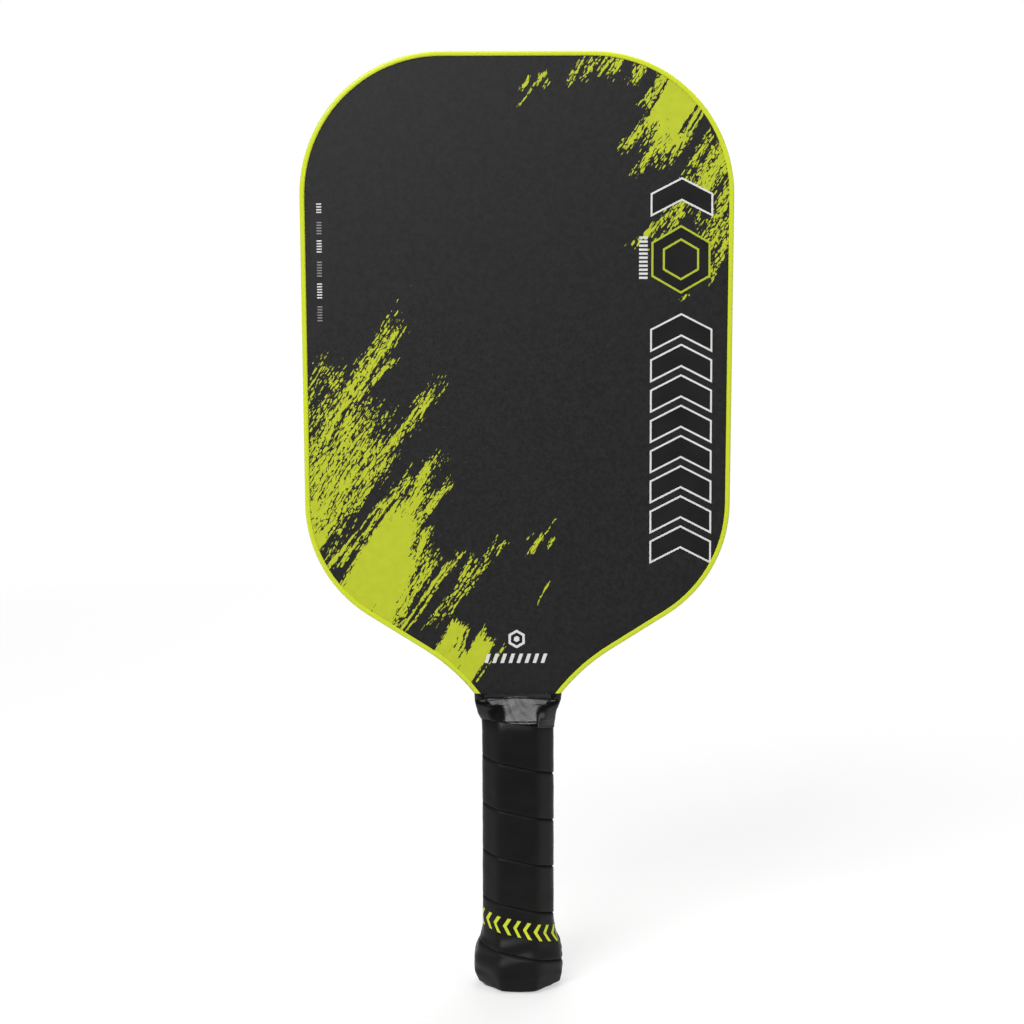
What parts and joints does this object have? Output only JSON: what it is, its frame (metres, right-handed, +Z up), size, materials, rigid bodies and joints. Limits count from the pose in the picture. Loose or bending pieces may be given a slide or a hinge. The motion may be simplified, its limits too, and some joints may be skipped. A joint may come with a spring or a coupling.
{
  "type": "pickleball paddle",
  "caption": "Wide-head pickleball paddle with a composite honeycomb panel, lime edge guard and a cushioned wrapped handle with a flared butt.",
  "frame": {"origin": "centre of the flat butt end, on which the paddle can stand", "axes": "+Z up the paddle from the butt to the top of the head, +X across the head, front playing face towards -Y and rear face towards +Y"},
  "size_m": [0.1906, 0.0376, 0.4178],
  "materials": {
    "core": "translucent polypropylene honeycomb",
    "bond_film": "cured epoxy film",
    "face_sheet": "fine-textured carbon composite with a printed lime and black pattern",
    "guard": "satin lime thermoplastic",
    "guard_tape": "white double-sided foam tape",
    "handle_shell": "moulded black structural foam",
    "cap": "fine-grained moulded black nylon",
    "badge": "glossy lime resin dome",
    "staple": "galvanised steel wire",
    "wrap": "matt black polyurethane cushion",
    "tape": "glossy black vinyl"
  },
  "bodies": {
    "root": {"honeycomb_core": "core", "front_bond_film": "bond_film", "rear_bond_film": "bond_film", "front_face_sheet": "face_sheet", "rear_face_sheet": "face_sheet", "edge_guard": "guard", "edge_guard_tape": "guard_tape", "handle_shell_front": "handle_shell", "handle_shell_rear": "handle_shell", "butt_cap": "cap", "butt_cap_badge": "badge", "butt_cap_staples": "staple", "grip_start_staple": "staple", "grip_wrap": "wrap", "finishing_tape": "tape"}
  },
  "joints": []
}
